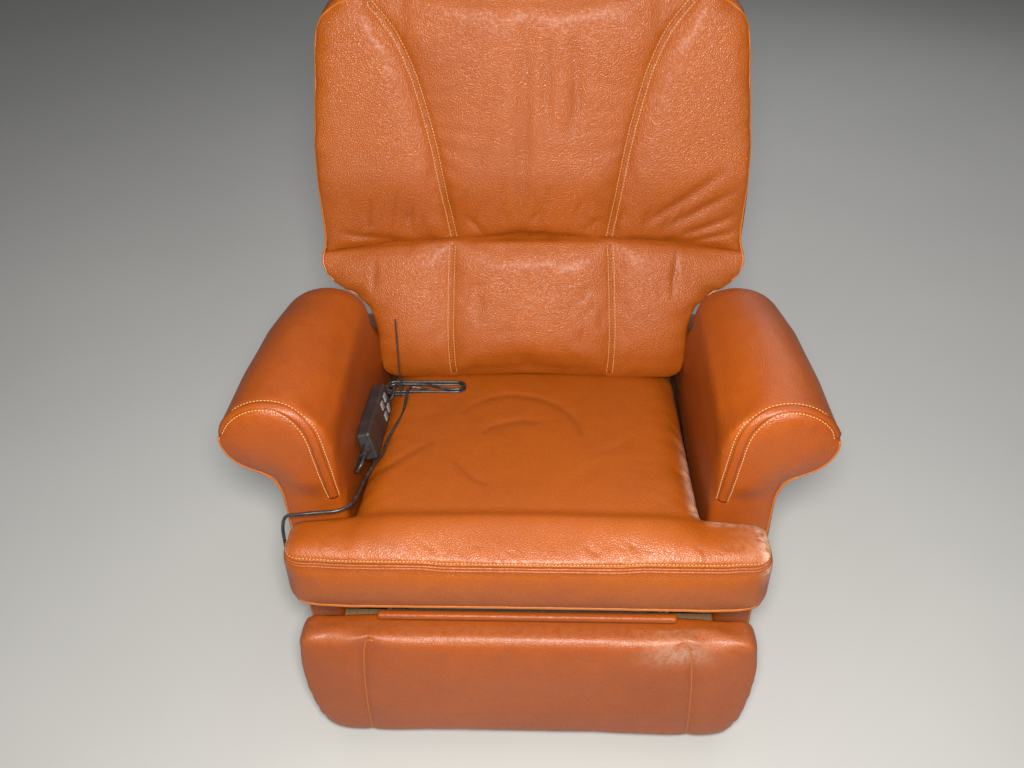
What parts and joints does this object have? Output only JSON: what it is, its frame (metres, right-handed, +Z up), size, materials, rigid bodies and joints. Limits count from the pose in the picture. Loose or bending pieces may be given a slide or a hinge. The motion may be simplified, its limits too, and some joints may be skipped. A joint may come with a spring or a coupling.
{
  "type": "recliner armchair",
  "caption": "Leather recliner armchair with flared rolled arms, T-shaped seat cushion, reclining back, fold-out footrest and a corded handset.",
  "frame": {"origin": "on the floor under the middle of the chair", "axes": "+Z up, the chair faces -Y, +X to a viewer's right"},
  "size_m": [0.8588, 0.8113, 1.0345],
  "materials": {
    "leather": "satin",
    "plywood": "matt",
    "black_steel": "satin",
    "zinc_steel": "satin",
    "black_plastic": "matt",
    "grey_plastic": "matt",
    "rubber": "matt"
  },
  "bodies": {
    "chair": {"arm_left": "leather", "arm_right": "leather", "back_actuator_tube": "grey_plastic", "back_motor": "black_plastic", "base_runner_left": "black_steel", "base_runner_right": "black_steel", "control_box": "black_plastic", "cord_gland": "rubber", "cord_zip_tie": "black_plastic", "footrest_actuator_tube": "grey_plastic", "footrest_motor": "black_plastic", "front_cross_tube": "black_steel", "glide_front_left": "black_plastic", "glide_front_right": "black_plastic", "glide_rear_left": "black_plastic", "glide_rear_right": "black_plastic", "handset_body": "black_plastic", "handset_cord": "rubber", "handset_cord_end": "rubber", "handset_cord_hank": "rubber", "handset_strain_relief": "rubber", "mains_inlet": "black_plastic", "mechanism_plate_left": "black_steel", "mechanism_plate_right": "black_steel", "rear_apron": "leather", "rear_cross_tube": "black_steel", "seat_cushion": "leather", "seat_frame": "plywood", "seat_front_trim": "leather", "seat_spring_1": "zinc_steel", "seat_spring_2": "zinc_steel", "seat_spring_3": "zinc_steel", "side_frame_left": "plywood", "side_frame_right": "plywood"},
    "backrest": {"back_frame": "black_steel", "back_hinge_bracket_left": "black_steel", "back_hinge_bracket_right": "black_steel", "back_torque_tube": "zinc_steel", "back_shell": "leather", "back_skirt": "leather", "lumbar_cushion": "leather", "back_cushion": "leather", "back_crank": "zinc_steel"},
    "lower_links": {"lower_link_left": "zinc_steel", "lower_link_right": "zinc_steel", "footrest_torque_tube": "zinc_steel", "footrest_crank": "zinc_steel"},
    "upper_links": {"upper_link_left": "zinc_steel", "upper_link_right": "zinc_steel", "upper_link_tie_bar": "zinc_steel"},
    "footrest": {"footrest_pad": "leather", "footrest_board": "plywood", "footrest_bracket_left": "zinc_steel", "footrest_bracket_right": "zinc_steel"},
    "back_rod": {"back_rod": "zinc_steel"},
    "footrest_rod": {"footrest_rod": "zinc_steel"},
    "button_back_up": {"button_back_up": "grey_plastic"},
    "button_back_down": {"button_back_down": "grey_plastic"},
    "button_feet_up": {"button_feet_up": "grey_plastic"},
    "button_feet_down": {"button_feet_down": "grey_plastic"}
  },
  "joints": [
    {"name": "back_recline", "type": "hinge", "parent": "chair", "child": "backrest", "pos_m": [0, 0.14, 0.36], "axis": [-1, 0, 0], "range_deg": [0, 38]},
    {"name": "back_rod_slide", "type": "slide", "parent": "chair", "child": "back_rod", "axis": [0, -1, 0], "range_m": [0, 0.1107]},
    {"name": "footrest_lift", "type": "hinge", "parent": "chair", "child": "lower_links", "pos_m": [0, -0.1, 0.24], "axis": [-1, 0, 0], "range_deg": [0, 54.5]},
    {"name": "footrest_fold", "type": "hinge", "parent": "lower_links", "child": "upper_links", "pos_m": [0, -0.24, 0.044], "axis": [1, 0, 0], "range_deg": [0, 96.4]},
    {"name": "footrest_tilt", "type": "hinge", "parent": "upper_links", "child": "footrest", "pos_m": [0, -0.32, 0.27], "axis": [-1, 0, 0], "range_deg": [0, 131.9]},
    {"name": "footrest_rod_slide", "type": "slide", "parent": "chair", "child": "footrest_rod", "axis": [0, -1, 0], "range_m": [0, 0.0881]},
    {"name": "button_back_up_press", "type": "slide", "parent": "chair", "child": "button_back_up", "axis": [-0.9744, -0.0382, -0.2217], "range_m": [0, 0.0015], "stiffness_N_per_m": 600, "springref_m": -0.001},
    {"name": "button_back_down_press", "type": "slide", "parent": "chair", "child": "button_back_down", "axis": [-0.9744, -0.0382, -0.2217], "range_m": [0, 0.0015], "stiffness_N_per_m": 600, "springref_m": -0.001},
    {"name": "button_feet_up_press", "type": "slide", "parent": "chair", "child": "button_feet_up", "axis": [-0.9744, -0.0382, -0.2217], "range_m": [0, 0.0015], "stiffness_N_per_m": 600, "springref_m": -0.001},
    {"name": "button_feet_down_press", "type": "slide", "parent": "chair", "child": "button_feet_down", "axis": [-0.9744, -0.0382, -0.2217], "range_m": [0, 0.0015], "stiffness_N_per_m": 600, "springref_m": -0.001}
  ],
  "couplings": [
    {"joint": "back_rod_slide", "follows": "back_recline", "m_per_rad": 0.16614},
    {"joint": "footrest_fold", "follows": "footrest_lift", "ratio": 1.767},
    {"joint": "footrest_tilt", "follows": "footrest_lift", "ratio": 2.418},
    {"joint": "footrest_rod_slide", "follows": "footrest_lift", "m_per_rad": 0.092047}
  ]
}
